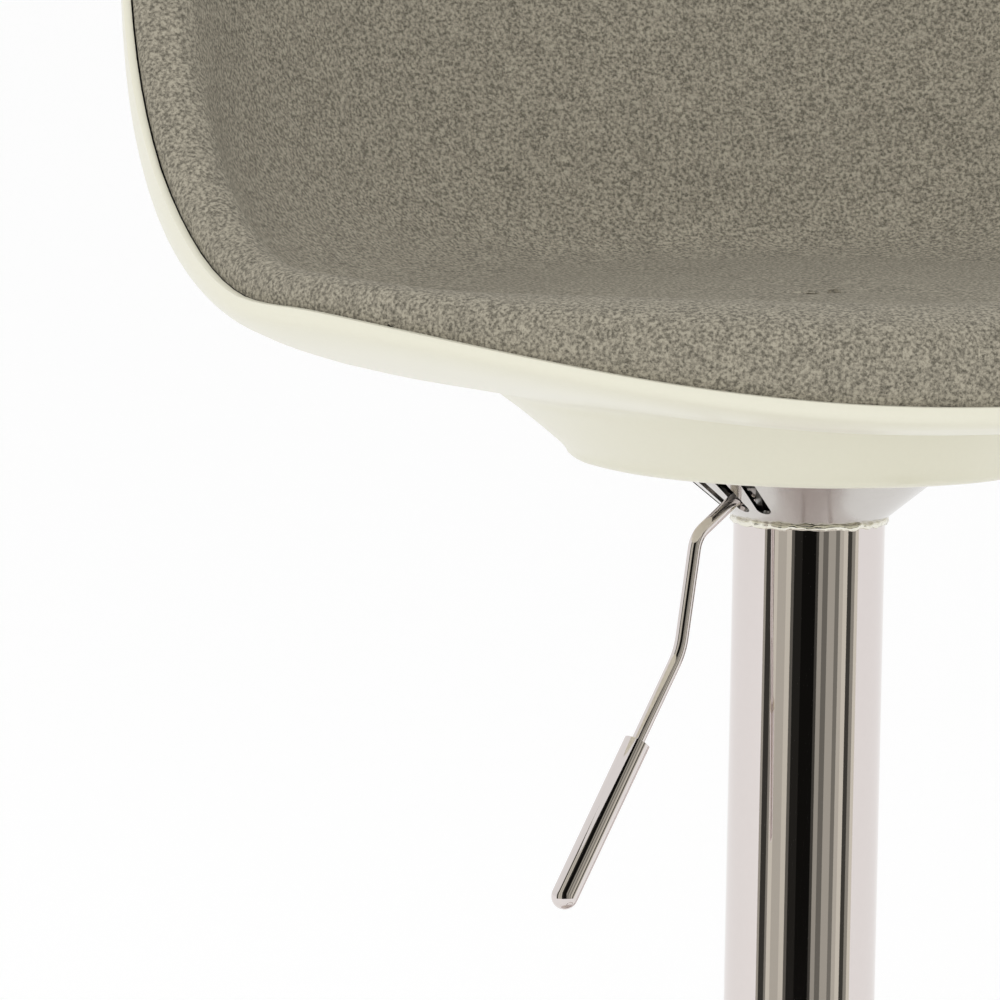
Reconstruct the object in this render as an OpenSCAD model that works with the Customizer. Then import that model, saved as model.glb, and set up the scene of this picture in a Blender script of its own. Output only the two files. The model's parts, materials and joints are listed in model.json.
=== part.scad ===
// Adjustable swivel stool: a moulded tub seat on a gas lift column and a round weighted base.
// The origin is on the floor, on the column's axis. The sitter faces -Y, and +Z is up.

/* [Seat] */
// Height of the weld between the bell and the upper sleeve, at the lowest setting
neck_z = 520; // [515:1:560]
// Half the seat's width, outside the shell
seat_half_width = 252; // [235:1:265]
// Reach of the seat's front edge from the widest point
seat_front = 235; // [220:1:245]
// Reach of the seat's back edge from the widest point
seat_rear = 200; // [190:1:215]
// How far the widest point lies behind the column's axis
seat_middle_y = 30; // [20:1:40]
// Squareness of the seat's plan, where 2 is an ellipse
seat_squareness = 2.3; // [2:0.1:3]
// Rise of the shell's edge from the front to the front corners
corner_rise = 27; // [15:1:40]
// Rise of the shell's edge from the front corners to the top of the back
back_rise = 270; // [200:1:300]
// Extra rise of the shell's edge at the middle of the back
back_crown = 10; // [0:1:20]
// Thickness of the shell
shell_wall = 3; // [2.5:0.5:4]
// Thickness of the padding on the walls
wall_pad = 24; // [18:1:28]
// Height of the front roll above the shell's edge
roll_rise = 32; // [26:1:38]

/* [Column] */
// Outer diameter of the upper sleeve
sleeve_d = 57; // [56.5:0.5:58]
// Outer diameter of the lower column tube
tube_d = 50; // [49.5:0.5:50.5]
// Lift of the seat
lift = 200; // [120:5:200]
// Outer diameter of the gas cylinder
cylinder_d = 28; // [27.5:0.5:28]

/* [Base] */
// Outer diameter of the base
base_d = 400; // [380:5:430]
// Diameter of the footrest's tube
footrest_tube_d = 22; // [19:1:25]
// Radius of the footrest's loop
footrest_loop_r = 92; // [80:1:100]

/* [Lever] */
// Direction of the lever from the axis
lever_angle = 203.25; // [195:0.25:210]
// Diameter of the lever's rod
lever_d = 5; // [4:0.5:5]
// Diameter of the lever's grip
grip_d = 10; // [9:0.5:12]
// Length of the lever's grip
grip_length = 70; // [50:1:75]

/* [Hidden] */
$fn = 96;
fit = 0.05;
gap = 0.3;
tiny = 0.01;

// Seat: heights above the neck, and the share of the plan at each step of the underside
boss_z = neck_z + 21;
under_z = neck_z + 50;
front_z = neck_z + 66;
floor_z = neck_z + 85;
corner_angle = 73;
back_angle = 141;
bow_angles = [0, 50, 74, 95, 120, 180];
bows = [3, 2.4, 2.7, 2.2, 2.6, 1.9];
tilt_share = 0.8;
tilt_end = 108;
crown_angle = 100;
boss_r = 91;
boss_round = 4;
boss_top_share = 0.48;
cove_power = 1.15;
roll_angle = 20;
roll_end = 95;
floor_share = 0.06;
boss_floor = 8;
liner_wall = 3;
cover_wall = 1.5;
plan_steps = 48;
bowl_steps = 10;
cove_steps = 6;
pad_knots_per_step = 0.375;

// Column: the lower tube, its bush, and the sleeve that slides over it
tube_r = tube_d / 2;
tube_wall = 2;
tube_bore_r = tube_r - tube_wall;
tube_bottom_z = 13;
tube_top_z = neck_z - 40;
sleeve_r = sleeve_d / 2;
sleeve_bore_r = sleeve_r - 1.5;
sleeve_bottom_z = tube_top_z - lift - 40;
ring_height = 20;
bush_height = 40;
bush_flange = 3;

// Gas cylinder, piston rod and thrust bearing
cylinder_r = cylinder_d / 2;
cylinder_bore_r = cylinder_r - 1.9;
cylinder_bottom_z = 42;
cylinder_top_z = neck_z - 2;
guide_height = 18;
head_height = 24;
rod_r = 5;
spigot_r = 4;
piston_bottom_z = cylinder_bottom_z + guide_height + lift + 2;
piston_height = 20;
plug_z = tube_bottom_z + 1;
plug_height = 12;
race_height = 2;
race_r = 11;
ball_r = 1.6;
ball_count = 10;
ball_circle_r = 8;
bearing_z = plug_z + plug_height;
balls_z = bearing_z + race_height + 0.1 + ball_r;
upper_race_z = balls_z + ball_r + 0.1;
rod_shoulder_z = upper_race_z + race_height;
pin_r = 3;
pin_top_z = neck_z + 7;

// Bell, plate and lever pivot
bell_slope = 1.22;
bell_wall = 1.5;
bell_top_z = boss_z - gap;
plate_height = 3.5;
plate_top_z = boss_z;
plate_z = plate_top_z - plate_height;
plate_r = 47;
socket_r = 19;
slot_width = 6;
slot_pitch = 15.5;
slot_count = 6;
slots_behind_lever = 4;
slot_first = lever_angle - slots_behind_lever * slot_pitch;
slot_low = 4.5;
slot_high = 17;
bolt_circle_r = 38;
bolt_r = 3;
lever_z = neck_z + 10;
pivot_x = 28;
pivot_r = 2;
eye_r = 5;
eye_width = 7;
ear_thick = 3;
lever_path = [[-8, 10], [40, 10], [60.5, -2.5], [67.8, -45], [128.7, -135]];
lever_bends = [0, 10, 10, 25, 0];
bend_steps = 6;
rod_sides = 20;

// Base
ballast_r = base_d / 2 - 10;
ballast_z = 5;
ballast_height = 8;
ring_outer_r = ballast_r - 1;
ring_width = 12;
socket_flange_r = 55;
socket_flange = 5;
base_socket_r = 31;
base_socket_top = 50;
base_bolt_circle_r = 43;
base_bolt_r = 4;
cover_thick = 1.5;
cover_neck_z = 92;
cover_steps = 24;

// Footrest: the loop reaches as far forward as the seat's back reaches behind
footrest_z = 200;
collar_r = 31;
collar_height = 40;
footrest_reach = seat_middle_y + seat_rear;
footrest_tube_r = footrest_tube_d / 2;
footrest_centre = footrest_reach - footrest_tube_r - footrest_loop_r;
footrest_half_gap = acos(footrest_loop_r / footrest_centre);
loop_steps = 48;

cream = [0.93, 0.92, 0.85];
fabric = [0.52, 0.49, 0.44];
chrome = [0.82, 0.82, 0.82];
steel = [0.6, 0.6, 0.62];
plastic = [0.12, 0.12, 0.13];

// ---------- shared shapes ----------

// A round pipe standing on z
module pipe(outer, inner, z, height) {
    translate([0, 0, z])
        difference() {
            cylinder(r = outer, h = height);
            translate([0, 0, -1]) cylinder(r = inner, h = height + 2);
        }
}

// A closed skin out over rings of points and back over the inner ones, each with the same count.
// Both ways split their faces along the same diagonal, so nested skins don't cut into each other.
module skin(rings, inner = []) {
    n = len(rings[0]);
    all = concat(rings, reversed(inner));
    last = len(all) - 1;
    points = [for (r = all) each r];
    sides = [
        for (i = [0 : last - 1], j = [0 : n - 1])
            let (a = i * n + j, b = i * n + (j + 1) % n, c = b + n, d = a + n)
                each (i < len(rings) ? [[a, b, d], [b, c, d]] : [[a, b, c], [a, c, d]])
    ];
    foot = [for (j = [n - 1 : -1 : 0]) j];
    top = [for (j = [0 : n - 1]) last * n + j];
    polyhedron(points, concat([foot], sides, [top]));
}

// Copies of the children set round the axis
module around(count, radius, first = 0) {
    for (i = [0 : count - 1])
        rotate([0, 0, first + i * 360 / count])
            translate([radius, 0, 0])
                children();
}

function turned(r, a) = r * [cos(a), sin(a)];

// Points along the bend at corner i of a path in a plane
function bend(path, bends, i) =
    let (
        p = path[i],
        a = (p - path[i - 1]) / norm(p - path[i - 1]),
        b = (path[i + 1] - p) / norm(path[i + 1] - p),
        turn = acos(a * b),
        side = sign(a[0] * b[1] - a[1] * b[0]),
        from = p - bends[i] * tan(turn / 2) * a,
        centre = from + side * bends[i] * [-a[1], a[0]],
        first = atan2(from[1] - centre[1], from[0] - centre[0])
    )
    [for (k = [0 : bend_steps]) centre + turned(bends[i], first + side * turn * k / bend_steps)];

// A round rod swept along points in the XY plane
module swept(points, r) {
    last = len(points) - 1;
    skin([
        for (i = [0 : last])
            let (
                run = points[min(i + 1, last)] - points[max(i - 1, 0)],
                across = [-run[1], run[0]] / norm(run)
            )
            [
                for (k = [0 : rod_sides - 1])
                    let (a = -360 * k / rod_sides, p = points[i] + r * cos(a) * across)
                        [p[0], p[1], r * sin(a)]
            ]
    ]);
}

// ---------- seat surfaces ----------

function signed_power(v, p) = sign(v) * pow(abs(v), p);
function ramp(v) = pow(sin(90 * max(0, min(1, v))), 2);
function fold(a) = min(a, 360 - a);

// Plan of the shell's edge at angle a, counted from the front
function plan(a) = [
    -seat_half_width * signed_power(sin(a), 2 / seat_squareness),
    seat_middle_y
        - (cos(a) > 0 ? seat_front : seat_rear) * signed_power(cos(a), 2 / seat_squareness)
];

// Height of the shell's edge
function edge_z(a) =
    front_z + corner_rise * ramp(fold(a) / corner_angle)
    + back_rise * ramp((fold(a) - corner_angle) / (back_angle - corner_angle))
    + back_crown * ramp((fold(a) - crown_angle) / (180 - crown_angle));

// How far the underside climbs below the edge's roll, most at the front corners and none at the sides
function tilt(a) =
    tilt_share * corner_rise * ramp(fold(a) / corner_angle)
    * (1 - ramp((fold(a) - corner_angle) / (tilt_end - corner_angle)));

// Power of the bowl's curve: 2 is an ellipse, and higher is squarer
function bow(a, i = 0) =
    i == len(bows) - 1 ? bows[0] : bow_step(a, i) + bow(a, i + 1);
function bow_step(a, i) =
    (bows[i + 1] - bows[i]) * ramp((fold(a) - bow_angles[i]) / (bow_angles[i + 1] - bow_angles[i]));

// Share of the plan that the outside of the shell has reached at height z
function shell_share(a, z) =
    let (t = (z - under_z) / (edge_z(a) - under_z), m = bow(a))
        boss_top_share + (1 - boss_top_share) * pow(1 - pow(1 - max(0, min(1, t)), m), 1 / m);

// The bowl as [part of the way out, part of the height] from the boss to the edge
function bowl(a) = [
    for (j = [1 : bowl_steps])
        let (q = 90 * j / bowl_steps, m = bow(a))
            [pow(sin(q), 2 / m), 1 - pow(cos(q), 2 / m)]
];

// A point of the plan at a share of its size, brought in by a distance
function inward(a, share, distance, z) =
    let (p = plan(a), k = share * (1 - distance / norm(p)))
        [p[0] * k, p[1] * k, z];

function ring() = [for (i = [0 : plan_steps - 1]) i * 360 / plan_steps];

// The first rings of the bowl's wall, at a distance inside the shell's outer face
function bowl_rings(distance, count = bowl_steps, edge_drop = 0) = [
    for (j = [0 : count - 1])
        [
            for (a = ring())
                let (
                    b = bowl(a)[j],
                    low = under_z + distance + tilt(a) * b[0],
                    drop = j == bowl_steps - 1 ? edge_drop : 0
                )
                    inward(a, mix(boss_top_share, 1, b[0]), distance, mix(low, edge_z(a), b[1]) - drop)
        ]
];

// Rings of the boss: a flat round foot, and a cove that spreads from it to the plan's own shape
function round_ring(r, z) = [for (a = ring()) [-r * sin(a), -r * cos(a), z]];
function boss_rings(distance, foot_z) =
    let (
        r = boss_r - distance,
        low = foot_z + boss_round,
        high = under_z + distance
    )
    concat(
        [round_ring(floor_share * seat_half_width, foot_z), round_ring(r - boss_round, foot_z)],
        [
            for (j = [0 : cove_steps])
                let (k = j / cove_steps, z = high - (high - low) * pow(1 - k, cove_power))
                    [
                        for (a = ring())
                            mix([-r * sin(a), -r * cos(a), z], inward(a, boss_top_share, distance, z), k)
                    ]
        ]
    );

// Flat ring in the middle of a level floor
function floor_rings(z) = [
    for (share = [floor_share, boss_top_share])
        [for (a = ring()) inward(a, share, 0, z)]
];

function reversed(list) = [for (i = [len(list) - 1 : -1 : 0]) list[i]];
function mix(a, b, k) = a * (1 - k) + b * k;

// Section of the padding at angle a as [distance from the axis, height], from middle to edge
function pad_frame(a) =
    let (
        reach = norm(plan(a)),
        edge = edge_z(a),
        crest = front_z + roll_rise + 0.35 * (edge_z(a) - front_z),
        hem = reach - shell_wall - 0.5,
        low = mix(floor_z, edge, 0.06) + 3,
        mid = mix(floor_z, edge, 0.4) + 4,
        front = [
            [0, floor_z + 1], [0.3 * reach, floor_z], [0.55 * reach, floor_z - 1],
            [reach - 85, floor_z + 1], [reach - 52, crest - 2], [reach - 28, crest + 2],
            [hem - 1, crest - 2], [hem, edge + 10], [hem, edge - 0.5]
        ],
        wall = [
            [0, floor_z + 1], [0.3 * reach, floor_z], [0.55 * reach, floor_z],
            [reach * shell_share(a, low) - wall_pad - 23, low],
            [reach * shell_share(a, mid) - wall_pad - shell_wall, mid],
            [reach - wall_pad - shell_wall, edge + 2], [reach - 16, edge + 14],
            [hem, edge + 9], [hem, edge - 0.5]
        ],
        k = ramp((fold(a) - roll_angle) / (roll_end - roll_angle))
    )
    [for (i = [0 : len(front) - 1]) mix(front[i], wall[i], k)];

// Cubic spline through a frame of points, held at both ends
function held(frame, i) = frame[max(0, min(len(frame) - 1, i))];
function spline(frame, u) =
    let (i = floor(u), f = u - i)
        (
            pow(1 - f, 3) * held(frame, i - 1)
            + (3 * pow(f, 3) - 6 * pow(f, 2) + 4) * held(frame, i)
            + (-3 * pow(f, 3) + 3 * pow(f, 2) + 3 * f + 1) * held(frame, i + 1)
            + pow(f, 3) * held(frame, i + 2)
        ) / 6;

// The same spline moved towards the shell by a depth
function sunk(frame, u, depth) =
    let (
        p = spline(frame, u),
        q = spline(frame, u + 0.05) - spline(frame, u - 0.05),
        along = q / norm(q)
    )
    p + depth * [along[1], -along[0]];

// Rings of the padding's visible face, sunk by a depth
function pad_rings(depth) = [
    for (u = [0 : pad_knots_per_step : 9])
        [
            for (a = ring())
                let (
                    s = sunk(pad_frame(a), u, u == 0 ? 0 : depth),
                    p = plan(a) * s[0] / norm(plan(a))
                )
                [p[0], p[1], s[1] - (u == 0 ? depth : 0)]
        ]
];

// ---------- stand ----------

module floor_ring() {
    color(plastic)
        pipe(ring_outer_r, ring_outer_r - ring_width, 0, ballast_z);
}

// Height of the base cover's outer face at distance r from the axis
function cover_profile(r) =
    let (k = (base_d / 2 - r) / (base_d / 2 - tube_r - 2))
        ballast_z + ballast_height + 2 + 10 * k + (cover_neck_z - 25) * pow(k, 9);

module base_cover() {
    outer = [
        for (i = [0 : cover_steps])
            let (r = mix(base_d / 2, tube_r + 2, i / cover_steps))
                [r, cover_profile(r)]
    ];
    inner = [for (p = reversed(outer)) [max(p[0] - cover_thick, tube_r + 0.5), p[1] - cover_thick]];
    rim = [[base_d / 2 - cover_thick, ballast_z - 2], [base_d / 2, ballast_z - 2]];
    color(chrome)
        rotate_extrude()
            polygon(concat(outer, inner, rim));
}

module ballast_plate() {
    color(steel)
        difference() {
            pipe(ballast_r, 18, ballast_z, ballast_height);
            translate([0, 0, ballast_z - 1])
                around(3, base_bolt_circle_r)
                    cylinder(r = base_bolt_r + 0.2, h = ballast_height + 2);
        }
}

module base_socket() {
    z = ballast_z + ballast_height;
    color(steel)
        difference() {
            union() {
                pipe(socket_flange_r, tube_r + fit, z, socket_flange);
                pipe(base_socket_r, tube_r + fit, z, base_socket_top - z);
            }
            translate([0, 0, z - 1])
                around(3, base_bolt_circle_r)
                    cylinder(r = base_bolt_r + fit, h = socket_flange + 2);
        }
}

module base_bolts() {
    head = 4;
    color(steel)
        around(3, base_bolt_circle_r) {
            translate([0, 0, ballast_z - head])
                cylinder(r = 7, h = head, $fn = 6);
            translate([0, 0, ballast_z - 1])
                cylinder(r = base_bolt_r, h = ballast_height + socket_flange + 2);
        }
}

module column_tube() {
    color(chrome)
        pipe(tube_r, tube_bore_r, tube_bottom_z, tube_top_z - tube_bottom_z);
}

module column_plug() {
    color(steel)
        pipe(tube_bore_r, spigot_r + fit, plug_z, plug_height);
}

module lower_race() {
    color(steel)
        pipe(race_r, spigot_r + 0.4, bearing_z, race_height);
}

module guide_bush() {
    color(plastic) {
        pipe(tube_bore_r, cylinder_r + fit, tube_top_z - bush_height, bush_height);
        pipe(tube_r, cylinder_r + fit, tube_top_z, bush_flange);
    }
}

module footrest_collar() {
    color(chrome)
        difference() {
            pipe(collar_r, tube_r + fit, footrest_z - collar_height / 2, collar_height);
            footrest_screw_places()
                cylinder(r = 2.5, h = collar_r);
        }
}

// The set screws' lines, pointing out of the back of the collar
module footrest_screw_places() {
    for (z = [-10, 10])
        translate([0, 0, footrest_z + z])
            rotate([-90, 0, 0])
                children();
}

module footrest_screws() {
    color(steel)
        footrest_screw_places()
            translate([0, 0, tube_r])
                cylinder(r = 2.5, h = collar_r - tube_r);
}

module footrest_bar() {
    open = footrest_half_gap;
    loop = [
        for (i = [0 : loop_steps])
            let (a = 90 + open + (360 - 2 * open) * i / loop_steps)
                [0, -footrest_centre] + turned(footrest_loop_r, a)
    ];
    color(chrome)
        translate([0, 0, footrest_z])
            difference() {
                swept(concat([[0, 0]], loop, [[0, 0]]), footrest_tube_r);
                cylinder(r = collar_r, h = 3 * footrest_tube_d, center = true);
            }
}

// ---------- rod and bearing ----------

module upper_race() {
    color(steel)
        pipe(race_r, spigot_r + tiny, upper_race_z, race_height);
}

module bearing_ball_places() {
    translate([0, 0, balls_z])
        around(ball_count, ball_circle_r)
            children();
}

module ball_cage() {
    color(plastic)
        difference() {
            pipe(race_r - 0.5, 5.5, balls_z - 0.7, 1.4);
            bearing_ball_places()
                sphere(r = ball_r + fit);
        }
}

module bearing_balls() {
    color(steel)
        bearing_ball_places()
            sphere(r = ball_r);
}

module piston_rod() {
    color(steel)
        difference() {
            union() {
                translate([0, 0, 8])
                    cylinder(r = spigot_r, h = rod_shoulder_z - 8);
                translate([0, 0, rod_shoulder_z])
                    cylinder(r = rod_r, h = piston_bottom_z + piston_height - rod_shoulder_z);
            }
            pipe(spigot_r + 1, 3, 10, 1.5);
        }
}

module piston() {
    color(plastic)
        pipe(cylinder_bore_r - fit, rod_r + tiny, piston_bottom_z, piston_height);
}

module rod_washer() {
    color(steel)
        pipe(10, spigot_r + tiny, plug_z - 2.3, 2);
}

module rod_clip() {
    color(steel)
        pipe(7, 3 + tiny, 10.1, 1.3);
}

// ---------- lifting column ----------

module gas_cylinder() {
    color(plastic)
        pipe(cylinder_r, cylinder_bore_r, cylinder_bottom_z, cylinder_top_z - head_height / 2 - cylinder_bottom_z);
}

module cylinder_guide() {
    color(plastic)
        pipe(cylinder_bore_r, rod_r + fit, cylinder_bottom_z, guide_height);
}

module cylinder_head() {
    joint_z = cylinder_top_z - head_height / 2;
    color(steel)
        difference() {
            union() {
                translate([0, 0, joint_z])
                    cylinder(r1 = cylinder_r, r2 = cylinder_r - 0.5, h = head_height / 2);
                translate([0, 0, joint_z - head_height / 2])
                    cylinder(r = cylinder_bore_r, h = head_height / 2 + 1);
            }
            translate([0, 0, joint_z - head_height / 2 + 4])
                cylinder(r = pin_r + fit, h = head_height);
        }
}

module upper_sleeve() {
    color(chrome)
        pipe(sleeve_r, sleeve_bore_r, sleeve_bottom_z, neck_z - sleeve_bottom_z);
}

module sleeve_ring() {
    lip = 6;
    color(plastic) {
        pipe(sleeve_bore_r, tube_r + fit, sleeve_bottom_z, ring_height - lip);
        pipe(sleeve_r, tube_r + fit, sleeve_bottom_z - lip, lip);
    }
}

// Distance of the bell's outer face from the axis at height z
function bell_r(z) = sleeve_r + bell_slope * (z - neck_z);

// Rounded slot of the bell, in the plane of the cone's face
module bell_slot() {
    tilt = atan(bell_slope);
    length = (slot_high - slot_low) / cos(tilt);
    translate([bell_r(neck_z + slot_low), 0, neck_z + slot_low])
        rotate([0, tilt, 0])
            rotate([0, 90, 0])
                translate([0, 0, -6]) {
                    for (x = [-slot_width / 2, -length])
                        translate([x, 0, 0])
                            cylinder(r = slot_width / 2, h = 12);
                    translate([-length, -slot_width / 2, 0])
                        cube([length - slot_width / 2, slot_width, 12]);
                }
}

module bell_cover() {
    across = bell_wall / cos(atan(bell_slope));
    rise = bell_wall / sin(atan(bell_slope));
    color(chrome)
        difference() {
            rotate_extrude()
                polygon([
                    [sleeve_r, neck_z], [bell_r(bell_top_z), bell_top_z],
                    [bell_r(bell_top_z) - across * bell_slope, bell_top_z],
                    [sleeve_bore_r, neck_z + rise - (sleeve_r - sleeve_bore_r) / bell_slope],
                    [sleeve_bore_r, neck_z]
                ]);
            for (i = [0 : slot_count - 1])
                rotate([0, 0, slot_first + i * slot_pitch])
                    bell_slot();
        }
}

module neck_bead() {
    color(chrome)
        rotate_extrude()
            polygon([
                [sleeve_r, neck_z - 4.5], [sleeve_r + 1, neck_z - 3], [bell_r(neck_z + 2.2), neck_z + 2.2],
                [sleeve_r, neck_z]
            ]);
}

// ---------- lever mechanism ----------

module taper_socket() {
    low = neck_z - 34;
    color(steel)
        difference() {
            pipe(socket_r, cylinder_r + tiny, low, plate_z - low);
            rotate([0, 0, lever_angle])
                translate([0, -eye_width / 2, neck_z + 2])
                    cube([2 * socket_r, eye_width, plate_z]);
        }
}

module mount_plate() {
    color(steel)
        difference() {
            translate([0, 0, plate_z])
                cylinder(r = plate_r, h = plate_height);
            translate([0, 0, plate_z - 1])
                around(4, bolt_circle_r, 45)
                    cylinder(r = bolt_r + fit, h = plate_height + 2);
        }
}

module lever_bracket() {
    color(steel)
        rotate([0, 0, lever_angle])
            for (side = [-1, 1])
                translate([pivot_x, side * (eye_width / 2 + gap + ear_thick / 2), lever_z])
                    difference() {
                        union() {
                            rotate([90, 0, 0])
                                cylinder(r = eye_r, h = ear_thick, center = true);
                            translate([-eye_r, -ear_thick / 2, 0])
                                cube([2 * eye_r, ear_thick, plate_z - lever_z]);
                        }
                        rotate([90, 0, 0])
                            cylinder(r = pivot_r + tiny, h = 2 * ear_thick, center = true);
                    }
}

module lever_pin() {
    color(steel)
        rotate([0, 0, lever_angle])
            translate([pivot_x, 0, lever_z])
                rotate([90, 0, 0])
                    cylinder(r = pivot_r, h = eye_width + 2 * (gap + ear_thick) + 2, center = true);
}

// A round bar from one point of a plane to another
module bar(from, to, r) {
    run = to - from;
    translate([from[0], from[1], 0])
        rotate([0, 0, atan2(run[1], run[0])])
            rotate([0, 90, 0])
                cylinder(r = r, h = norm(run));
}

// Sets the children's XY plane upright in the lever's own plane
module lever_plane() {
    rotate([0, 0, lever_angle])
        translate([0, 0, neck_z])
            rotate([90, 0, 0])
                children();
}

lever_tip = lever_path[len(lever_path) - 1];
lever_knee = lever_path[len(lever_path) - 2];
grip_along = (lever_tip - lever_knee) / norm(lever_tip - lever_knee);
grip_start = lever_tip - grip_length * grip_along;
grip_cap = 12;
rod_end = lever_tip - (grip_cap + gap) * grip_along;

module lever_rod() {
    last = len(lever_path) - 1;
    bends = [for (i = [1 : last - 1]) each bend(lever_path, lever_bends, i)];
    color(chrome)
        lever_plane()
            difference() {
                union() {
                    swept(concat([lever_path[0]], bends, [rod_end]), lever_d / 2);
                    translate([pivot_x, lever_z - neck_z, 0])
                        cylinder(r = eye_r, h = eye_width, center = true);
                }
                translate([pivot_x, lever_z - neck_z, 0])
                    cylinder(r = pivot_r + fit, h = 2 * eye_width, center = true);
            }
}

module lever_grip() {
    r = grip_d / 2;
    bore = lever_d / 2 + tiny;
    dome = [for (q = [0 : 10 : 80]) [r * cos(q), grip_length - r + r * sin(q)]];
    color(chrome)
        lever_plane()
            translate([grip_start[0], grip_start[1], 0])
                rotate([0, 0, atan2(grip_along[1], grip_along[0])])
                    rotate([0, 90, 0])
                        rotate_extrude()
                            polygon(concat(
                                [[bore, 0], [r, 0]], dome,
                                [[0, grip_length], [0, grip_length - grip_cap], [bore, grip_length - grip_cap]]
                            ));
}

module valve_pin() {
    foot_z = cylinder_top_z - head_height + 4 + 5;
    color(steel) {
        translate([0, 0, foot_z])
            cylinder(r = pin_r, h = pin_top_z - pin_r - foot_z);
        translate([0, 0, pin_top_z - pin_r])
            sphere(r = pin_r);
    }
}

// ---------- seat ----------

module mount_bolt_holes(z, height) {
    translate([0, 0, z])
        around(4, bolt_circle_r, 45)
            cylinder(r = bolt_r + fit, h = height);
}

module inner_plate() {
    z = boss_z + boss_floor;
    color(steel)
        difference() {
            translate([0, 0, z])
                cylinder(r = 55, h = 3);
            mount_bolt_holes(z - 1, 5);
        }
}

module mount_bolts() {
    z = boss_z + boss_floor + 3;
    color(steel)
        around(4, bolt_circle_r, 45) {
            translate([0, 0, z])
                cylinder(r = 5.5, h = 4, $fn = 6);
            translate([0, 0, plate_z])
                cylinder(r = bolt_r, h = z - plate_z + 1);
        }
}

module seat_shell() {
    color(cream)
        difference() {
            skin(
                concat(boss_rings(0, boss_z), bowl_rings(0)),
                concat(boss_rings(shell_wall, boss_z + boss_floor), bowl_rings(shell_wall))
            );
            mount_bolt_holes(boss_z - 1, boss_floor + 2);
        }
}

module seat_liner() {
    outer = shell_wall + gap;
    inner = outer + liner_wall;
    count = bowl_steps - 1;
    color(plastic)
        skin(
            concat(floor_rings(under_z + outer), bowl_rings(outer, count)),
            concat(floor_rings(under_z + inner), bowl_rings(inner, count))
        );
}

module foam_pad() {
    outer = shell_wall + liner_wall + 2 * gap;
    foam_drop = 2;
    color("wheat")
        skin(
            concat(floor_rings(under_z + outer), bowl_rings(outer, bowl_steps, foam_drop)),
            pad_rings(cover_wall + gap)
        );
}

module seat_cover() {
    color(fabric)
        skin(pad_rings(cover_wall), pad_rings(0));
}

floor_ring();
base_cover();
ballast_plate();
base_socket();
base_bolts();
column_tube();
column_plug();
lower_race();
guide_bush();
footrest_collar();
footrest_bar();
footrest_screws();
upper_race();
ball_cage();
bearing_balls();
piston_rod();
piston();
rod_washer();
rod_clip();
gas_cylinder();
cylinder_guide();
cylinder_head();
upper_sleeve();
sleeve_ring();
bell_cover();
neck_bead();
taper_socket();
mount_plate();
lever_bracket();
lever_pin();
inner_plate();
mount_bolts();
seat_shell();
seat_liner();
foam_pad();
seat_cover();
lever_rod();
lever_grip();
valve_pin();
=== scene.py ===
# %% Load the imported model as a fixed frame
import json
import math

import bpy
import numpy as np
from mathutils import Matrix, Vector, noise

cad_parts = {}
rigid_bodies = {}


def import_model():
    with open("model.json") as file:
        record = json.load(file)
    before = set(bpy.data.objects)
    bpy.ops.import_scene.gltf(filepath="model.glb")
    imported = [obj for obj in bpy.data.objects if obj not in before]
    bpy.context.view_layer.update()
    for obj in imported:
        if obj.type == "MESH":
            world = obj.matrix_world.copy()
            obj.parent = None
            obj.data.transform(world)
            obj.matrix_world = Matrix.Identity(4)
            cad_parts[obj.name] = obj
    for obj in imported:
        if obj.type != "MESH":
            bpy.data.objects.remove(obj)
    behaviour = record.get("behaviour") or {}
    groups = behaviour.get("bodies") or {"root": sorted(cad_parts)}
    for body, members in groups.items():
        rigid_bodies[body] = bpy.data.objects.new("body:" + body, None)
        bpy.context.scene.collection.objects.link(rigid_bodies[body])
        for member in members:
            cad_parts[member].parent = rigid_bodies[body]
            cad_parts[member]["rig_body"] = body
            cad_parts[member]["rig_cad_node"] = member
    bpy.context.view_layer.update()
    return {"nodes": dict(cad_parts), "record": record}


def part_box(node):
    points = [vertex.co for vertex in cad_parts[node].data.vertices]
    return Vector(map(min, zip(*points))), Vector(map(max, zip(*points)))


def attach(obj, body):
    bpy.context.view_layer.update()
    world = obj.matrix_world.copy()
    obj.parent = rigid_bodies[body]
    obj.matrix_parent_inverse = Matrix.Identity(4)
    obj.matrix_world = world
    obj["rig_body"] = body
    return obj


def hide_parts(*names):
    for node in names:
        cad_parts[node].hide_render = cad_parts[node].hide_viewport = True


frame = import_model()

NODES = frame["nodes"]
MM = 0.001

# %% [markdown]
# # An adjustable swivel stool
# The stool is a moulded tub seat lined with felt, on a gas lift column and a round weighted base.
# The CAD model already holds every piece at its real size. This lesson gives each piece its finish, and
# remakes the ones whose surface must be smoother or softer than a CAD solid.

# %% [markdown]
# ## The camera
# A long lens from a few metres away keeps the column's sides parallel. The camera stands a little to the
# left of the stool and a little above the seat, and it leans by one degree. It looks past the neck, where
# the column meets the seat. A shifted lens could frame this too, but aiming to the side needs no shift.

# %% Camera
NECK = Vector((0, 0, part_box("upper_sleeve")[1].z))
AZIMUTH = math.radians(-23)
ELEVATION = math.radians(7.5)
LEAN = math.radians(1)
DISTANCE = 4.0
AIM_LEFT = 116.1 * MM
AIM_UP = 3.8 * MM
LENS = 384
SENSOR = 36
FAR_CLIP = 60

backwards = Vector((
    math.sin(AZIMUTH) * math.cos(ELEVATION),
    -math.cos(AZIMUTH) * math.cos(ELEVATION),
    math.sin(ELEVATION),
))
rightwards = Vector((math.cos(AZIMUTH), math.sin(AZIMUTH), 0))
upwards = backwards.cross(rightwards)

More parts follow.
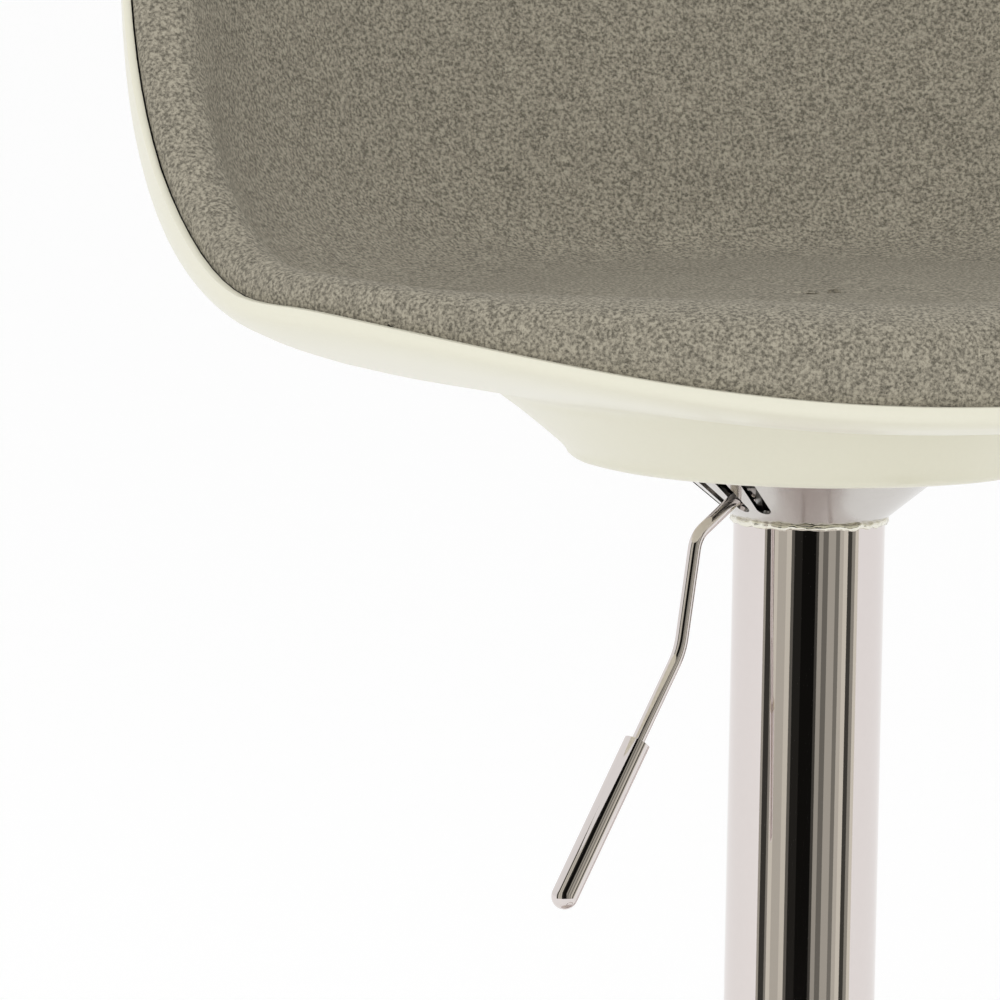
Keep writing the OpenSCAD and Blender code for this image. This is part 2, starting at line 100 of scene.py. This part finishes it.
bpy.ops.object.camera_add(location=NECK + backwards * DISTANCE)
camera = bpy.context.object
camera.name = "camera"
aim = NECK - rightwards * AIM_LEFT + upwards * AIM_UP
look = (aim - camera.location).to_track_quat("-Z", "Y")
camera.rotation_euler = look.to_euler()
bpy.context.view_layer.update()
camera.rotation_euler.rotate_axis("Z", LEAN)
camera.data.sensor_width = SENSOR
camera.data.lens = LENS
camera.data.clip_end = FAR_CLIP
bpy.context.scene.camera = camera
print("camera at", [round(v, 3) for v in camera.location])

# %% [markdown]
# ## The studio
# The stool stands on a wide pale floor in even white light, as in a catalogue. Polished steel shows only
# what stands round it, so its dark and grey stripes come from tall cards set in a ring round the stool.
# The cards are seen in reflections alone. Each card's place is the direction that the column's face
# mirrors, twice the angle of the face itself, so a stripe is moved by moving its card.

# %% Sky and floor
SKY_STRENGTH = 0.93
FLOOR_RADIUS = 30
FLOOR_DROP = 0.5 * MM

scene = bpy.context.scene
scene.view_settings.view_transform = "Standard"
scene.view_settings.look = "None"

world = bpy.data.worlds.new("even_white_light")
world.use_nodes = True
sky = world.node_tree.nodes["Background"]
sky.inputs["Color"].default_value = (1, 1, 1, 1)
sky.inputs["Strength"].default_value = SKY_STRENGTH
scene.world = world

bpy.ops.object.select_all(action="DESELECT")
bpy.ops.mesh.primitive_circle_add(
    vertices=96, radius=FLOOR_RADIUS, fill_type="NGON", location=(0, 0, -FLOOR_DROP)
)
floor = bpy.context.object
floor.name = "studio_floor"

# %% [markdown]
# ### The ring of cards
# A card is a strip of glowing paper, bent round the ring in flat steps. `STRIPES` lists the cards from left
# to right as the column shows them. The whole ring is turned a little, so that the stripes sit right.

# %% Reflected cards
CARD_RING = 1.6
CARD_FOOT = 2 * MM
CARD_TOP = 1.9
CARD_STEP = 4            # degrees of the ring to one flat step
CARD_PAPER = (1.0, 0.975, 0.86)
PAPER_GAIN = 1.08
RING_TURN = 4.6          # degrees
# Each stripe: first and last angle from the camera's direction, and its brightness
STRIPES = [
    (-74.5, -70.5, 0.38), (-70.5, -61.0, 0.045), (-61.0, -57.5, 0.26), (-57.5, -51.0, 0.68),
    (-51.0, -37.5, 0.50), (-37.5, -30.0, 0.64), (-30.0, -25.5, 0.12), (-25.5, -13.5, 0.018),
    (-13.5, 7.0, 0.006), (7.0, 11.0, 0.06), (11.0, 17.5, 0.36), (17.5, 25.5, 0.16),
    (25.5, 37.0, 0.42), (37.0, 43.5, 0.20), (43.5, 50.0, 0.52), (50.0, 57.0, 0.68),
    (57.0, 64.5, 0.055), (64.5, 70.5, 0.30), (70.5, 76.5, 0.70),
]
HIDDEN_FROM = ("camera", "diffuse", "shadow", "transmission", "volume_scatter")


def plain_emission(name, colour, strength):
    """A card's glowing paper."""
    made = bpy.data.materials.new(name)
    made.use_nodes = True
    nodes = made.node_tree.nodes
    nodes.clear()
    light = nodes.new("ShaderNodeEmission")
    light.inputs["Color"].default_value = (*colour, 1)
    light.inputs["Strength"].default_value = strength
    out = nodes.new("ShaderNodeOutputMaterial")
    made.node_tree.links.new(light.outputs["Emission"], out.inputs["Surface"])
    return made


def card_mesh(first, last):
    """A strip of the ring between two angles in degrees, in flat steps."""
    steps = max(2, int((last - first) / CARD_STEP))
    corners = []
    for i in range(steps + 1):
        turn = AZIMUTH + math.radians(RING_TURN + first + (last - first) * i / steps)
        for z in (CARD_FOOT, CARD_TOP):
            corners.append((CARD_RING * math.sin(turn), -CARD_RING * math.cos(turn), z))
    quads = [(2 * i, 2 * i + 2, 2 * i + 3, 2 * i + 1) for i in range(steps)]
    mesh = bpy.data.meshes.new("reflected_card")
    mesh.from_pydata(corners, [], quads)
    return mesh


for k, (first, last, bright) in enumerate(STRIPES):
    card = bpy.data.objects.new(f"reflected_card_{k}", card_mesh(first, last))
    scene.collection.objects.link(card)
    card.data.materials.append(plain_emission(f"card_paper_{k}", CARD_PAPER, bright * PAPER_GAIN))
    for ray in HIDDEN_FROM:
        setattr(card, "visible_" + ray, False)
print("cards:", len(STRIPES))

# %% [markdown]
# ### The key light
# One large softbox stands high on the left. It lifts the near faces a little, and reflections leave it out.

# %% Key light
KEY_PLACE = (-2.2, -2.6, 3.0)
KEY_SIDE = 2.4
KEY_WATTS = 22

bpy.ops.object.light_add(type="AREA", location=KEY_PLACE)
key = bpy.context.object
key.name = "key_softbox"
key.data.shape = "RECTANGLE"
key.data.size = key.data.size_y = KEY_SIDE
key.data.energy = KEY_WATTS
key.rotation_euler = (NECK - key.location).to_track_quat("-Z", "Y").to_euler()
key.visible_glossy = False

# %% [markdown]
# ## Shared effects
# Most finishes need the same three effects: a fine grain, a slow unevenness, and fine scratches. Two node
# groups give them, since the unevenness is the grain at a wide scale. A group gives out values which vary
# over the surface, and every material places it with its own scale. The shader's constant settings stay on
# the shader itself.

# %% Node groups


def new_group(name, inputs, outputs):
    """An empty node group with number sockets, and its input and output nodes."""
    group = bpy.data.node_groups.new(name, "ShaderNodeTree")
    for label, default in inputs:
        socket = group.interface.new_socket(label, in_out="INPUT", socket_type="NodeSocketFloat")
        socket.default_value = default
    for label in outputs:
        group.interface.new_socket(label, in_out="OUTPUT", socket_type="NodeSocketFloat")
    return group, group.nodes.new("NodeGroupInput"), group.nodes.new("NodeGroupOutput")


def add(tree, kind, links=None, **settings):
    """Adds a node, sets its properties, and links or sets its inputs by name."""
    node = tree.nodes.new("ShaderNode" + kind)
    for label, value in settings.items():
        setattr(node, label, value)
    for socket, value in (links or {}).items():
        target = node.inputs[socket]
        if isinstance(value, bpy.types.NodeSocket):
            tree.links.new(value, target)
        else:
            target.default_value = value
    return node


def grain_group():
    """Even grain: a Height for bump and a Mask between 0 and 1 for colour."""
    g, gin, gout = new_group("grain", [("Scale", 800), ("Contrast", 1.0)], ["Mask", "Height"])
    at = add(g, "TexCoord").outputs["Object"]
    fine = add(g, "TexNoise", {
        "Vector": at, "Scale": gin.outputs["Scale"], "Detail": 3.0, "Roughness": 0.6,
    })
    low = add(g, "Math", {0: fine.outputs["Fac"], 1: 0.5}, operation="SUBTRACT")
    wide = add(g, "Math", {0: low.outputs[0], 1: gin.outputs["Contrast"]}, operation="MULTIPLY")
    mask = add(g, "Math", {0: wide.outputs[0], 1: 0.5}, operation="ADD", use_clamp=True)
    g.links.new(mask.outputs[0], gout.inputs["Mask"])
    g.links.new(fine.outputs["Fac"], gout.inputs["Height"])
    return g


STREAKS = ((0.4, 22.0), (-0.9, 30.0))    # turn in radians, and stretch
STREAK_TILT = 0.3
STREAK_BAND = (0.66, 0.78)


def scratch_group():
    """Fine scratches from handling: long thin streaks that cross, as a Mask."""
    g, gin, gout = new_group("scratches", [("Scale", 60)], ["Mask"])
    at = add(g, "TexCoord").outputs["Object"]
    masks = []
    for angle, stretch in STREAKS:
        turned = add(g, "Mapping", {
            "Vector": at, "Rotation": (STREAK_TILT, angle, angle), "Scale": (1, stretch, 1),
        })
        streak = add(g, "TexNoise", {
            "Vector": turned.outputs[0], "Scale": gin.outputs["Scale"], "Detail": 2.0,
        })
        thin = add(g, "MapRange", {
            "Value": streak.outputs["Fac"], "From Min": STREAK_BAND[0], "From Max": STREAK_BAND[1],
        })
        masks.append(thin.outputs[0])
    both = add(g, "Math", {0: masks[0], 1: masks[1]}, operation="MAXIMUM")
    g.links.new(both.outputs[0], gout.inputs["Mask"])
    return g


GRAIN = grain_group()
SCRATCHES = scratch_group()


def place(tree, group, **values):
    """Places a node group in a material, with its own input values."""
    node = tree.nodes.new("ShaderNodeGroup")
    node.node_tree = group
    for label, value in values.items():
        node.inputs[label].default_value = value
    return node


print("node groups:", [g.name for g in bpy.data.node_groups])

# %% [markdown]
# ## The finishes
# A finish is a Principled shader with two colours mixed by the grain, a roughness that wanders between two
# values, and a bump. `finish` builds them all from a few numbers, and polished metals add scratches.

# %% The finish builder
COAT_ROUGHNESS = 0.08
PATCH_CONTRAST = 0.9
SCRATCH_SCALE = 60


def finish(name, dark, light, rough, scale, contrast, bump, depth,
           metallic=0.0, coat=0.0, scratched=False, patch=8.0):
    """A finish. scale, contrast, bump and depth are the grain's; patch is the unevenness's scale."""
    made = bpy.data.materials.new(name)
    made.use_nodes = True
    tree = made.node_tree
    shader = tree.nodes["Principled BSDF"]
    shader.inputs["Metallic"].default_value = metallic
    shader.inputs["Coat Weight"].default_value = coat
    shader.inputs["Coat Roughness"].default_value = COAT_ROUGHNESS
    grain = place(tree, GRAIN, Scale=scale, Contrast=contrast)
    slow = place(tree, GRAIN, Scale=patch, Contrast=PATCH_CONTRAST)
    colour = add(tree, "Mix", {"Factor": grain.outputs["Mask"]}, data_type="RGBA")
    colour.inputs["A"].default_value = (*dark, 1)
    colour.inputs["B"].default_value = (*light, 1)
    tree.links.new(colour.outputs["Result"], shader.inputs["Base Color"])
    source = slow.outputs["Mask"]
    if scratched:
        marks = place(tree, SCRATCHES, Scale=SCRATCH_SCALE)
        worn = add(tree, "Math", {0: source, 1: marks.outputs["Mask"]}, operation="MAXIMUM")
        source = worn.outputs[0]
    wander = add(tree, "MapRange", {"Value": source, "To Min": rough[0], "To Max": rough[1]})
    tree.links.new(wander.outputs[0], shader.inputs["Roughness"])
    relief = add(tree, "Bump", {
        "Height": grain.outputs["Height"], "Strength": bump, "Distance": depth,
    })
    tree.links.new(relief.outputs["Normal"], shader.inputs["Normal"])
    return made


# %% Metals
CHROME = finish(
    "polished_chrome", (0.695, 0.642, 0.623), (0.735, 0.68, 0.66), (0.02, 0.05),
    300, 0.6, 0.012, 0.1 * MM, metallic=1.0, scratched=True,
)
SATIN = finish(
    "satin_chrome", (0.56, 0.535, 0.51), (0.62, 0.595, 0.57), (0.13, 0.19),
    300, 0.8, 0.03, 0.1 * MM, metallic=1.0, scratched=True,
)
WELD = finish(
    "plated_weld", (0.72, 0.69, 0.58), (0.88, 0.86, 0.78), (0.08, 0.22),
    900, 1.6, 0.35, 0.3 * MM, metallic=1.0,
)
STEEL = finish(
    "zinc_plated_steel", (0.42, 0.42, 0.41), (0.56, 0.555, 0.53), (0.26, 0.45),
    220, 1.8, 0.1, 0.2 * MM, metallic=1.0, scratched=True,
)
IRON = finish(
    "sand_cast_iron", (0.035, 0.035, 0.036), (0.07, 0.068, 0.065), (0.6, 0.8),
    420, 2.0, 0.6, 0.8 * MM,
)

# %% Plastics, paint, rubber and foam
CREAM = finish(
    "cream_moulded_plastic", (0.775, 0.755, 0.625), (0.80, 0.78, 0.65), (0.30, 0.35),
    500, 1.0, 0.04, 0.15 * MM, coat=0.08, patch=14,
)
PAINT = finish(
    "black_cylinder_paint", (0.012, 0.012, 0.013), (0.02, 0.02, 0.021), (0.3, 0.42),
    900, 1.0, 0.15, 0.2 * MM,
)
BLACK = finish(
    "black_moulded_plastic", (0.016, 0.016, 0.017), (0.03, 0.03, 0.031), (0.38, 0.52),
    1100, 1.2, 0.25, 0.2 * MM,
)
RUBBER = finish(
    "floor_rubber", (0.012, 0.012, 0.012), (0.03, 0.029, 0.028), (0.7, 0.9),
    700, 1.6, 0.4, 0.3 * MM,
)
FOAM = finish(
    "seat_foam", (0.55, 0.47, 0.30), (0.72, 0.64, 0.44), (0.85, 0.95),
    900, 2.2, 0.8, 0.8 * MM,
)

# %% The studio floor's paint
FLOOR_GLOW = 0.1
FLOOR_PAINT = finish(
    "floor_paint", (0.935, 0.935, 0.935), (0.945, 0.945, 0.945), (0.55, 0.65),
    20, 1.0, 0.02, 0.5 * MM,
)
floor_shader = FLOOR_PAINT.node_tree.nodes["Principled BSDF"]
floor_shader.inputs["Emission Color"].default_value = (1, 1, 1, 1)
floor_shader.inputs["Emission Strength"].default_value = FLOOR_GLOW
floor.data.materials.append(FLOOR_PAINT)

FINISH_OF_SLOT = {
    "chrome": CHROME, "cream_plastic": CREAM, "steel": STEEL, "cast_iron": IRON, "black_paint": PAINT,
    "black_plastic": BLACK, "liner_plastic": BLACK, "rubber": RUBBER, "foam": FOAM,
}

# %% [markdown]
# ### Felt
# The seat's cover is a boiled wool felt spun from light and dark grey-brown fibres. It has no weave. Seen
# close, it is a dense mottle of clumps about a millimetre across, over softer patches of a few
# millimetres, with short fibres that lie in all directions. Three noises give the clumps, the patches
# and the fibres, and a soft sheen stands for the nap.

# %% Felt material
DARK_WOOL = (0.092, 0.084, 0.064, 1)
LIGHT_WOOL = (0.43, 0.394, 0.31, 1)
FIBRE_WOOL = (0.33, 0.30, 0.235, 1)
FIBRE_SHARE = 0.45
PATCH_SHADES = (0.84, 1.14)


def felt_material():
    """Felt: clumps of two wools, with a third laid over them by the fibres."""
    made = bpy.data.materials.new("heathered_felt")
    made.use_nodes = True
    tree = made.node_tree
    shader = tree.nodes["Principled BSDF"]
    shader.inputs["Sheen Weight"].default_value = 0.06
    shader.inputs["Sheen Roughness"].default_value = 0.6
    shader.inputs["Specular IOR Level"].default_value = 0.15
    clumps = place(tree, GRAIN, Scale=760, Contrast=4.0)
    fibres = place(tree, GRAIN, Scale=1500, Contrast=3.2)
    patches = place(tree, GRAIN, Scale=110, Contrast=1.2)
    first = add(tree, "Mix", {"Factor": clumps.outputs["Mask"]}, data_type="RGBA")
    first.inputs["A"].default_value = DARK_WOOL
    first.inputs["B"].default_value = LIGHT_WOOL
    share = add(tree, "MapRange", {
        "Value": fibres.outputs["Mask"], "To Min": 0.0, "To Max": FIBRE_SHARE,
    })
    second = add(tree, "Mix", {"Factor": share.outputs[0]}, data_type="RGBA")
    second.inputs["B"].default_value = FIBRE_WOOL
    tree.links.new(first.outputs["Result"], second.inputs["A"])
    shade = add(tree, "MapRange", {
        "Value": patches.outputs["Mask"], "To Min": PATCH_SHADES[0], "To Max": PATCH_SHADES[1],
    })
    toned = add(tree, "VectorMath", {
        0: second.outputs["Result"], "Scale": shade.outputs[0],
    }, operation="SCALE")
    tree.links.new(toned.outputs["Vector"], shader.inputs["Base Color"])
    rough = add(tree, "MapRange", {"Value": fibres.outputs["Mask"], "To Min": 0.86, "To Max": 0.98})
    tree.links.new(rough.outputs[0], shader.inputs["Roughness"])
    pile = add(tree, "Math", {
        0: clumps.outputs["Height"], 1: fibres.outputs["Height"],
    }, operation="ADD")
    relief = add(tree, "Bump", {
        "Height": pile.outputs[0], "Strength": 0.5, "Distance": 0.7 * MM,
    })
    tree.links.new(relief.outputs["Normal"], shader.inputs["Normal"])
    return made


FINISH_OF_SLOT["felt"] = felt_material()

# %% [markdown]
# ### Every CAD node gets a finish
# The record says which material slot each node belongs to. A node that a smoother piece later replaces gets
# its finish as well, so that nothing is ever bare.

# %% Give every CAD node its slot's finish
slot_of_node = {part["node"]: part["material_slot"] for part in frame["record"]["subparts"]}
for name, node in NODES.items():
    node.data.materials.clear()
    node.data.materials.append(FINISH_OF_SLOT[slot_of_node[name]])
print("finishes:", sorted(set(slot_of_node.values())))

# %% [markdown]
# ## Tools for the pieces
# A CAD node's mesh is loose triangles, so a piece that starts from one copies it and merges its doubles. The
# soft pieces and the shell also join their triangles into quads. Smooth shading by angle keeps real edges
# crisp.

# %% Helpers for pieces


def alone(obj):
    """Selects only this object."""
    bpy.ops.object.select_all(action="DESELECT")
    obj.select_set(True)
    bpy.context.view_layer.objects.active = obj


MERGE_WITHIN = 0.02 * MM


def merged_copy(name, node):
    """A new piece from a CAD node, with its double points merged."""
    obj = NODES[node].copy()
    obj.data = NODES[node].data.copy()
    obj.name = name
    obj.parent = None
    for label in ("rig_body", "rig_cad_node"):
        if label in obj:
            del obj[label]
    scene.collection.objects.link(obj)
    alone(obj)
    bpy.ops.mesh.customdata_custom_splitnormals_clear()
    bpy.ops.object.mode_set(mode="EDIT")
    bpy.ops.mesh.select_all(action="SELECT")
    bpy.ops.mesh.remove_doubles(threshold=MERGE_WITHIN)
    bpy.ops.object.mode_set(mode="OBJECT")
    return obj


def to_quads(obj):
    """Joins triangles into quads wherever two pair up, however bent the pair is."""
    alone(obj)
    bpy.ops.object.mode_set(mode="EDIT")
    bpy.ops.mesh.select_all(action="SELECT")
    bpy.ops.mesh.tris_convert_to_quads(
        face_threshold=math.pi, shape_threshold=math.pi, topology_influence=1.0
    )
    bpy.ops.object.mode_set(mode="OBJECT")


def smooth(obj, angle):
    """Shades smoothly across edges that bend by less than this angle in degrees."""
    alone(obj)
    bpy.ops.object.shade_smooth_by_angle(angle=math.radians(angle))


def clear_selection(obj):
    """Deselects every point, edge and face, so that faces can be picked in code."""
    for group in (obj.data.vertices, obj.data.edges, obj.data.polygons):
        for item in group:
            item.select = False


def modify(obj, kind, **settings):
    """Adds a modifier and applies it."""
    alone(obj)
    made = obj.modifiers.new(kind.lower(), kind)
    for label, value in settings.items():
        setattr(made, label, value)
    bpy.ops.object.modifier_apply(modifier=made.name)


def points_of(mesh):
    """A mesh's points as rows of x, y, z."""
    flat = np.zeros(len(mesh.vertices) * 3, np.float64)
    mesh.vertices.foreach_get("co", flat)
    return flat.reshape(-1, 3)


def edge_points(obj):
    """Points on the open edge of a sheet."""
    uses = {}
    for p in obj.data.polygons:
        for pair in p.edge_keys:
            uses[pair] = uses.get(pair, 0) + 1
    return sorted({v for pair, n in uses.items() if n == 1 for v in pair})


# %% [markdown]
# ### Subdividing without shrinking
# Subdivision pulls a coarse cage inwards. `through_points` measures how far each point would be pulled, moves
# the cage out by as much, and repeats until the smooth surface passes through the points it started from.

# %% Subdivision through the cage's points
SWELL_ROUNDS = 5
LOOSE_SHARE = 0.5


def through_points(obj, levels, sharp=50, crease=0.7, loose_below=None):
    """Subdivides a cage so that the smooth surface passes through the cage's own points.
    Edges that bend by more than sharp degrees are creased. Points below loose_below get only
    a part of one round of swelling, so they stay rounded."""
    alone(obj)
    bpy.ops.object.mode_set(mode="EDIT")
    bpy.ops.mesh.select_mode(type="EDGE")
    bpy.ops.mesh.select_all(action="DESELECT")
    bpy.ops.mesh.edges_select_sharp(sharpness=math.radians(sharp))
    bpy.ops.transform.edge_crease(value=crease)
    bpy.ops.object.mode_set(mode="OBJECT")
    count = len(obj.data.vertices)
    goal = points_of(obj.data)
    cage = goal.copy()
    held = np.ones((count, 1)) if loose_below is None else (goal[:, 2:] > loose_below) * 1.0
    made = obj.modifiers.new("subdivide", "SUBSURF")
    made.levels = made.render_levels = 1
    for number in range(SWELL_ROUNDS):
        seen = obj.evaluated_get(bpy.context.evaluated_depsgraph_get()).data
        lost = goal - points_of(seen)[:count]
        cage += lost * (np.maximum(held, LOOSE_SHARE) if number == 0 else held)
        obj.data.vertices.foreach_set("co", cage.ravel())
        obj.data.update()
    print(obj.name, "points off by at most", round(float(np.abs(lost).max()) * 1000, 2), "mm")
    made.levels = made.render_levels = levels
    bpy.ops.object.modifier_apply(modifier=made.name)


# %% [markdown]
# ### Handing a piece over
# A finished piece gets the finish of its slot, rides on its body, and hides the CAD nodes it stands for.

# %% Settling a piece


def settle(obj, body, slot, *nodes):
    """Gives a piece its finish, sets it on its body, and hides the nodes it stands for."""
    obj.data.materials.clear()
    obj.data.materials.append(FINISH_OF_SLOT[slot])
    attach(obj, body)
    if nodes:
        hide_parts(*nodes)
    print(obj.name, "on", body, "faces:", len(obj.data.polygons))


# %% [markdown]
# ## Turned and drawn steel
# The polished pieces mirror their surroundings, so a flat facet shows at once. Each is a copy of its CAD
# node, shaded smooth across its round faces, with its real edges left sharp. The bell is satin, not mirror.

# %% Polished pieces
POLISHED_EDGE = 32    # degrees
body_of_node = {name: node["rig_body"] for name, node in NODES.items()}
POLISHED = {
    "drawn_sleeve": "upper_sleeve", "column_pipe": "column_tube", "slotted_bell": "bell_cover",
    "spun_base": "base_cover", "footrest_loop": "footrest_bar", "footrest_clamp": "footrest_collar",
    "bent_lever": "lever_rod", "lever_handle": "lever_grip",
}
for name, node in POLISHED.items():
    piece = merged_copy(name, node)
    smooth(piece, POLISHED_EDGE)
    settle(piece, body_of_node[node], slot_of_node[node], node)
    if name == "slotted_bell":
        piece.data.materials[0] = SATIN

# %% [markdown]
# ## The weld at the neck
# The bell is welded to the sleeve, and the weld is plated with the rest, so it shows as a slightly lumpy
# bright ring. A torus lies on the joint, and its points move out, in, up and down by smooth noises, which
# make beads a few millimetres long round the ring.

# %% Weld bead
BEAD_RADIUS = 28.4 * MM
BEAD_SIZE = 1.35 * MM
BEAD_DROP = 0.4 * MM
LUMPS = 380
RIPPLES = 900
WAVES = 260
LUMP_SIZE = 0.4 * MM
WAVE_SIZE = 0.8 * MM

bpy.ops.object.select_all(action="DESELECT")
bpy.ops.mesh.primitive_torus_add(
    major_segments=420, minor_segments=14, major_radius=BEAD_RADIUS, minor_radius=BEAD_SIZE,
    location=NECK - Vector((0, 0, BEAD_DROP)),
)
bead = bpy.context.object
bead.name = "weld_bead"
bpy.ops.object.transform_apply(location=True, rotation=True, scale=True)
for v in bead.data.vertices:
    out = Vector((v.co.x, v.co.y, 0)).normalized()
    lump = noise.noise(v.co * LUMPS) + 0.6 * noise.noise(v.co * RIPPLES + Vector((3, 1, 2)))
    wave = noise.noise(v.co * WAVES + Vector((7, 7, 7)))
    v.co += out * LUMP_SIZE * lump + Vector((0, 0, WAVE_SIZE * wave))
smooth(bead, 180)
settle(bead, "seat", "chrome", "neck_bead")
bead.data.materials[0] = WELD

# %% [markdown]
# ## The moulded shell
# The seat's shell is one moulding of cream plastic with a smooth, slightly wavy gloss. Its CAD solid is a
# cage of flat facets, so the piece starts from a copy, joins the facets into quads, and subdivides them
# twice through their points. The foot of the boss is left rounder than the cage, and the ring where the
# boss turns into the bowl is smoothed.

# %% Shell
SHOULDER = NECK.z + 50 * MM
SHOULDER_BAND = (-9 * MM, 13 * MM)
SHOULDER_REACH = 200 * MM
SHOULDER_ROUNDS = 14
OUTSIDE = 0.2            # an outside face of the shell looks no higher than this
FOOT_BELOW = 4 * MM

shell = merged_copy("moulded_shell", "seat_shell")
to_quads(shell)
through_points(shell, 2, loose_below=SHOULDER - FOOT_BELOW)


def soften_shoulder(obj):
    """Smooths the ring where the boss turns into the bowl, on the outside only."""
    clear_selection(obj)
    for v in obj.data.vertices:
        level = v.co.z - SHOULDER
        in_band = SHOULDER_BAND[0] < level < SHOULDER_BAND[1]
        near = math.hypot(v.co.x, v.co.y) < SHOULDER_REACH
        v.select = in_band and near and v.normal.z < OUTSIDE
    alone(obj)
    bpy.ops.object.mode_set(mode="EDIT")
    bpy.ops.mesh.vertices_smooth(factor=0.5, repeat=SHOULDER_ROUNDS)
    bpy.ops.object.mode_set(mode="OBJECT")


soften_shoulder(shell)
smooth(shell, 40)
settle(shell, "seat", "cream_plastic", "seat_shell")

# %% [markdown]
# ## Softer sides
# At the front the padding makes a full roll over the rim. Along the sides and the back it thins out, so
# there the roll is softened. A vertex group holds the share of smoothing: none at the front, all of it at
# the sides and the back, and none on the hem.

# %% Smoothing that spares the front
SIDES_FROM = math.radians(38)
SIDES_FULL = math.radians(80)
HEM_KEPT = 11 * MM
HEM_BLEND = 22 * MM
SIDE_STEPS = 6


def soften_sides(obj):
    """Smooths a soft piece away from the front. A sheet's open edge stays where it is."""
    share = obj.vertex_groups.new(name="sides")
    rim = points_of(obj.data)[edge_points(obj)]
    for v in obj.data.vertices:
        from_front = math.atan2(abs(v.co.x), -v.co.y)
        part = min(1, max(0, (from_front - SIDES_FROM) / (SIDES_FULL - SIDES_FROM)))
        if len(rim):
            away = float(np.sqrt(((rim - np.array(v.co)) ** 2).sum(1).min()))
            part *= min(1, max(0, (away - HEM_KEPT) / HEM_BLEND))
        share.add([v.index], part, "REPLACE")
    modify(obj, "SMOOTH", factor=0.5, iterations=SIDE_STEPS, vertex_group="sides")

# %% [markdown]
# ## The padding
# Under the felt lies one block of moulded foam. It is hidden once the seat is made up. It has the CAD
# solid's shape with softened sides, smoothed by one subdivision, and lies a few millimetres inside the
# cover that it fills.

# %% Foam block
FOAM_SLACK = 6 * MM

foam = merged_copy("foam_block", "foam_pad")
to_quads(foam)
soften_sides(foam)
modify(foam, "SUBSURF", levels=1, render_levels=1)
modify(foam, "DISPLACE", strength=-FOAM_SLACK, mid_level=0)
smooth(foam, 60)
settle(foam, "seat", "foam", "foam_pad")

# %% [markdown]
# ## The felt cover
# The cover is glued over the foam and stretched smooth, and its hem is tucked between foam and shell. It
# starts as the outer face of the CAD cover: every face that is reached from the middle of the seat without
# crossing the sharp edge of the hem. The foam pushes it out evenly, so a short cloth simulation with a very
# little pressure and a fixed hem gives the tautness. It moves the sheet by about 2 mm, and a cap guards
# that. The sheet then gets the felt's thickness.

# %% Felt cover
FELT_THICK = 1.4 * MM
MIDDLE = 50 * MM
HEM_ANGLE = 50           # degrees
HEM_FIXED = 4 * MM
HEM_DEPTH = 16 * MM
PRESSURE = 0.05
CAP = 2.5 * MM
FRAMES = 20

cover = merged_copy("felt_cover", "seat_cover")
clear_selection(cover)
middle = [p for p in cover.data.polygons if p.center.xy.length < MIDDLE]
max(middle, key=lambda p: p.normal.z).select = True
alone(cover)
bpy.ops.object.mode_set(mode="EDIT")
bpy.ops.mesh.select_mode(type="FACE")
bpy.ops.mesh.faces_select_linked_flat(sharpness=math.radians(HEM_ANGLE))
bpy.ops.mesh.select_all(action="INVERT")
bpy.ops.mesh.delete(type="FACE")
bpy.ops.object.mode_set(mode="OBJECT")
print("outer faces:", len(cover.data.polygons))
to_quads(cover)
soften_sides(cover)
through_points(cover, 1, sharp=80, crease=0)


def stretch_by_cloth(obj):
    """Lets pressure swell the sheet with its hem held, and caps how far a point moves."""
    rest = points_of(obj.data)
    rim = rest[edge_points(obj)]
    group = obj.vertex_groups.new(name="held")
    for i, co in enumerate(rest):
        away = float(np.sqrt(((rim - co) ** 2).sum(1).min()))
        hold = 1 - min(1, max(0, (away - HEM_FIXED) / HEM_DEPTH))
        if hold > 0:
            group.add([i], hold, "REPLACE")
    alone(obj)
    cloth = obj.modifiers.new("cloth", "CLOTH")
    cloth.settings.vertex_group_mass = "held"
    cloth.settings.use_pressure = True
    cloth.settings.uniform_pressure_force = PRESSURE
    cloth.settings.effector_weights.gravity = 0
    cloth.settings.quality = 6
    cloth.point_cache.frame_end = FRAMES
    for number in range(1, FRAMES + 1):
        scene.frame_set(number)
    moved = points_of(obj.evaluated_get(bpy.context.evaluated_depsgraph_get()).data) - rest
    obj.modifiers.remove(cloth)
    scene.frame_set(1)
    far = np.sqrt((moved ** 2).sum(1, keepdims=True))
    print("cloth moved at most", round(float(far.max()) * 1000, 2), "mm")
    moved *= np.minimum(1, CAP / np.maximum(far, 1e-9))
    obj.data.vertices.foreach_set("co", (rest + moved).ravel())
    obj.data.update()


stretch_by_cloth(cover)
modify(cover, "SUBSURF", levels=1, render_levels=1)
modify(cover, "SOLIDIFY", thickness=FELT_THICK, offset=-1)
smooth(cover, 60)
settle(cover, "seat", "felt", "seat_cover")
